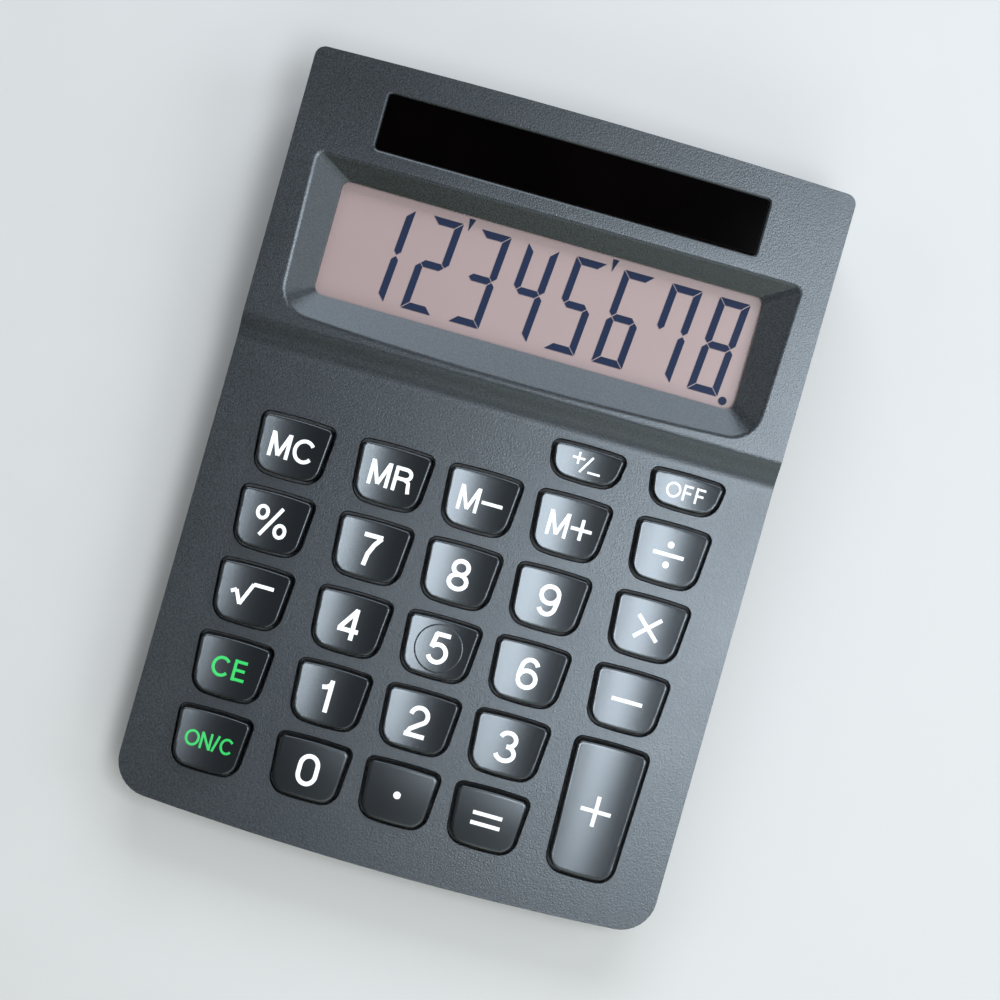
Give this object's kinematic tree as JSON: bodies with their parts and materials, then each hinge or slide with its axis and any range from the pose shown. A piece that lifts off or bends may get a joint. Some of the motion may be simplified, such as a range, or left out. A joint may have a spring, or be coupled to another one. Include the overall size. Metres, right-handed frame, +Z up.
{
  "type": "desk calculator",
  "caption": "Compact wedge-shaped desk calculator with a sunken digit display, a solar strip above it and sprung shield-shaped keys below.",
  "frame": {"origin": "on the desk under the middle of the case", "axes": "+Z up, +Y from the user towards the display end, +X to the user's right"},
  "size_m": [0.087, 0.1212, 0.0241],
  "materials": {
    "case_graphite": "dark graphite ABS, fine spark-eroded grain",
    "key_black": "near-black satin ABS, white and green pad-printed legends",
    "window_clear": "clear acrylic",
    "window_smoked": "smoked acrylic",
    "lcd_grey": "reflective liquid crystal panel with a warm grey polariser",
    "holder_white": "moulded",
    "zebra_silicone": "striped silicone connector",
    "board_green": "glass-fibre board with solder mask",
    "epoxy_black": "poured epoxy",
    "capacitor_blue": "shrink sleeve",
    "cell_brown": "amorphous silicon on glass",
    "mat_grey": "silicone",
    "rubber_black": "matt",
    "wire_red": "PVC",
    "wire_black": "PVC",
    "steel": "nickel plated",
    "spring_bronze": "phosphor bronze spring strip",
    "legend_white": "pad-printed ink",
    "legend_green": "pad-printed ink",
    "lcd_ink": "dark state of the liquid crystal"
  },
  "bodies": {
    "case": {"top_case": "case_graphite", "bottom_case": "case_graphite", "display_window": "window_clear", "solar_window": "window_smoked", "lcd_panel": "lcd_grey", "lcd_holder": "holder_white", "zebra_strip": "zebra_silicone", "circuit_board": "board_green", "chip_blob": "epoxy_black", "capacitor": "capacitor_blue", "solar_cell": "cell_brown", "key_mat": "mat_grey", "battery_cell": "steel", "battery_contact_plus": "spring_bronze", "battery_contact_minus": "spring_bronze", "battery_wire_red": "wire_red", "battery_wire_black": "wire_black", "solar_wire_red": "wire_red", "solar_wire_black": "wire_black", "case_screw_1": "steel", "board_screw_1": "steel", "case_screw_2": "steel", "board_screw_2": "steel", "case_screw_3": "steel", "board_screw_3": "steel", "case_screw_4": "steel", "board_screw_4": "steel", "foot_rear_left": "rubber_black", "foot_rear_right": "rubber_black", "foot_front_left": "rubber_black", "foot_front_right": "rubber_black"},
    "key_sign_change": {"key_sign_change": "key_black"},
    "key_off": {"key_off": "key_black"},
    "key_mc": {"key_mc": "key_black"},
    "key_mr": {"key_mr": "key_black"},
    "key_m_minus": {"key_m_minus": "key_black"},
    "key_m_plus": {"key_m_plus": "key_black"},
    "key_divide": {"key_divide": "key_black"},
    "key_percent": {"key_percent": "key_black"},
    "key_7": {"key_7": "key_black"},
    "key_8": {"key_8": "key_black"},
    "key_9": {"key_9": "key_black"},
    "key_multiply": {"key_multiply": "key_black"},
    "key_root": {"key_root": "key_black"},
    "key_4": {"key_4": "key_black"},
    "key_5": {"key_5": "key_black"},
    "key_6": {"key_6": "key_black"},
    "key_minus": {"key_minus": "key_black"},
    "key_ce": {"key_ce": "key_black"},
    "key_1": {"key_1": "key_black"},
    "key_2": {"key_2": "key_black"},
    "key_3": {"key_3": "key_black"},
    "key_on_c": {"key_on_c": "key_black"},
    "key_0": {"key_0": "key_black"},
    "key_point": {"key_point": "key_black"},
    "key_equals": {"key_equals": "key_black"},
    "key_plus": {"key_plus": "key_black"},
    "battery_door": {"battery_door": "case_graphite"}
  },
  "joints": [
    {"name": "press_sign_change", "type": "slide", "parent": "case", "child": "key_sign_change", "axis": [0, 0.0785, -0.9969], "range_m": [0, 0.0012], "stiffness_N_per_m": 300, "springref_m": -0.0015, "deforming": ["key_mat"]},
    {"name": "press_off", "type": "slide", "parent": "case", "child": "key_off", "axis": [0, 0.0785, -0.9969], "range_m": [0, 0.0012], "stiffness_N_per_m": 300, "springref_m": -0.0015, "deforming": ["key_mat"]},
    {"name": "press_mc", "type": "slide", "parent": "case", "child": "key_mc", "axis": [0, 0.0785, -0.9969], "range_m": [0, 0.0012], "stiffness_N_per_m": 300, "springref_m": -0.0015, "deforming": ["key_mat"]},
    {"name": "press_mr", "type": "slide", "parent": "case", "child": "key_mr", "axis": [0, 0.0785, -0.9969], "range_m": [0, 0.0012], "stiffness_N_per_m": 300, "springref_m": -0.0015, "deforming": ["key_mat"]},
    {"name": "press_m_minus", "type": "slide", "parent": "case", "child": "key_m_minus", "axis": [0, 0.0785, -0.9969], "range_m": [0, 0.0012], "stiffness_N_per_m": 300, "springref_m": -0.0015, "deforming": ["key_mat"]},
    {"name": "press_m_plus", "type": "slide", "parent": "case", "child": "key_m_plus", "axis": [0, 0.0785, -0.9969], "range_m": [0, 0.0012], "stiffness_N_per_m": 300, "springref_m": -0.0015, "deforming": ["key_mat"]},
    {"name": "press_divide", "type": "slide", "parent": "case", "child": "key_divide", "axis": [0, 0.0785, -0.9969], "range_m": [0, 0.0012], "stiffness_N_per_m": 300, "springref_m": -0.0015, "deforming": ["key_mat"]},
    {"name": "press_percent", "type": "slide", "parent": "case", "child": "key_percent", "axis": [0, 0.0785, -0.9969], "range_m": [0, 0.0012], "stiffness_N_per_m": 300, "springref_m": -0.0015, "deforming": ["key_mat"]},
    {"name": "press_7", "type": "slide", "parent": "case", "child": "key_7", "axis": [0, 0.0785, -0.9969], "range_m": [0, 0.0012], "stiffness_N_per_m": 300, "springref_m": -0.0015, "deforming": ["key_mat"]},
    {"name": "press_8", "type": "slide", "parent": "case", "child": "key_8", "axis": [0, 0.0785, -0.9969], "range_m": [0, 0.0012], "stiffness_N_per_m": 300, "springref_m": -0.0015, "deforming": ["key_mat"]},
    {"name": "press_9", "type": "slide", "parent": "case", "child": "key_9", "axis": [0, 0.0785, -0.9969], "range_m": [0, 0.0012], "stiffness_N_per_m": 300, "springref_m": -0.0015, "deforming": ["key_mat"]},
    {"name": "press_multiply", "type": "slide", "parent": "case", "child": "key_multiply", "axis": [0, 0.0785, -0.9969], "range_m": [0, 0.0012], "stiffness_N_per_m": 300, "springref_m": -0.0015, "deforming": ["key_mat"]},
    {"name": "press_root", "type": "slide", "parent": "case", "child": "key_root", "axis": [0, 0.0785, -0.9969], "range_m": [0, 0.0012], "stiffness_N_per_m": 300, "springref_m": -0.0015, "deforming": ["key_mat"]},
    {"name": "press_4", "type": "slide", "parent": "case", "child": "key_4", "axis": [0, 0.0785, -0.9969], "range_m": [0, 0.0012], "stiffness_N_per_m": 300, "springref_m": -0.0015, "deforming": ["key_mat"]},
    {"name": "press_5", "type": "slide", "parent": "case", "child": "key_5", "axis": [0, 0.0785, -0.9969], "range_m": [0, 0.0012], "stiffness_N_per_m": 300, "springref_m": -0.0015, "deforming": ["key_mat"]},
    {"name": "press_6", "type": "slide", "parent": "case", "child": "key_6", "axis": [0, 0.0785, -0.9969], "range_m": [0, 0.0012], "stiffness_N_per_m": 300, "springref_m": -0.0015, "deforming": ["key_mat"]},
    {"name": "press_minus", "type": "slide", "parent": "case", "child": "key_minus", "axis": [0, 0.0785, -0.9969], "range_m": [0, 0.0012], "stiffness_N_per_m": 300, "springref_m": -0.0015, "deforming": ["key_mat"]},
    {"name": "press_ce", "type": "slide", "parent": "case", "child": "key_ce", "axis": [0, 0.0785, -0.9969], "range_m": [0, 0.0012], "stiffness_N_per_m": 300, "springref_m": -0.0015, "deforming": ["key_mat"]},
    {"name": "press_1", "type": "slide", "parent": "case", "child": "key_1", "axis": [0, 0.0785, -0.9969], "range_m": [0, 0.0012], "stiffness_N_per_m": 300, "springref_m": -0.0015, "deforming": ["key_mat"]},
    {"name": "press_2", "type": "slide", "parent": "case", "child": "key_2", "axis": [0, 0.0785, -0.9969], "range_m": [0, 0.0012], "stiffness_N_per_m": 300, "springref_m": -0.0015, "deforming": ["key_mat"]},
    {"name": "press_3", "type": "slide", "parent": "case", "child": "key_3", "axis": [0, 0.0785, -0.9969], "range_m": [0, 0.0012], "stiffness_N_per_m": 300, "springref_m": -0.0015, "deforming": ["key_mat"]},
    {"name": "press_on_c", "type": "slide", "parent": "case", "child": "key_on_c", "axis": [0, 0.0785, -0.9969], "range_m": [0, 0.0012], "stiffness_N_per_m": 300, "springref_m": -0.0015, "deforming": ["key_mat"]},
    {"name": "press_0", "type": "slide", "parent": "case", "child": "key_0", "axis": [0, 0.0785, -0.9969], "range_m": [0, 0.0012], "stiffness_N_per_m": 300, "springref_m": -0.0015, "deforming": ["key_mat"]},
    {"name": "press_point", "type": "slide", "parent": "case", "child": "key_point", "axis": [0, 0.0785, -0.9969], "range_m": [0, 0.0012], "stiffness_N_per_m": 300, "springref_m": -0.0015, "deforming": ["key_mat"]},
    {"name": "press_equals", "type": "slide", "parent": "case", "child": "key_equals", "axis": [0, 0.0785, -0.9969], "range_m": [0, 0.0012], "stiffness_N_per_m": 300, "springref_m": -0.0015, "deforming": ["key_mat"]},
    {"name": "press_plus", "type": "slide", "parent": "case", "child": "key_plus", "axis": [0, 0.0785, -0.9969], "range_m": [0, 0.0012], "stiffness_N_per_m": 300, "springref_m": -0.0015, "deforming": ["key_mat"]},
    {"name": "battery_door_hinge", "type": "hinge", "parent": "case", "child": "battery_door", "pos_m": [0, 0.04815, 0.0015], "axis": [1, 0, 0], "range_deg": [0, 60]}
  ]
}
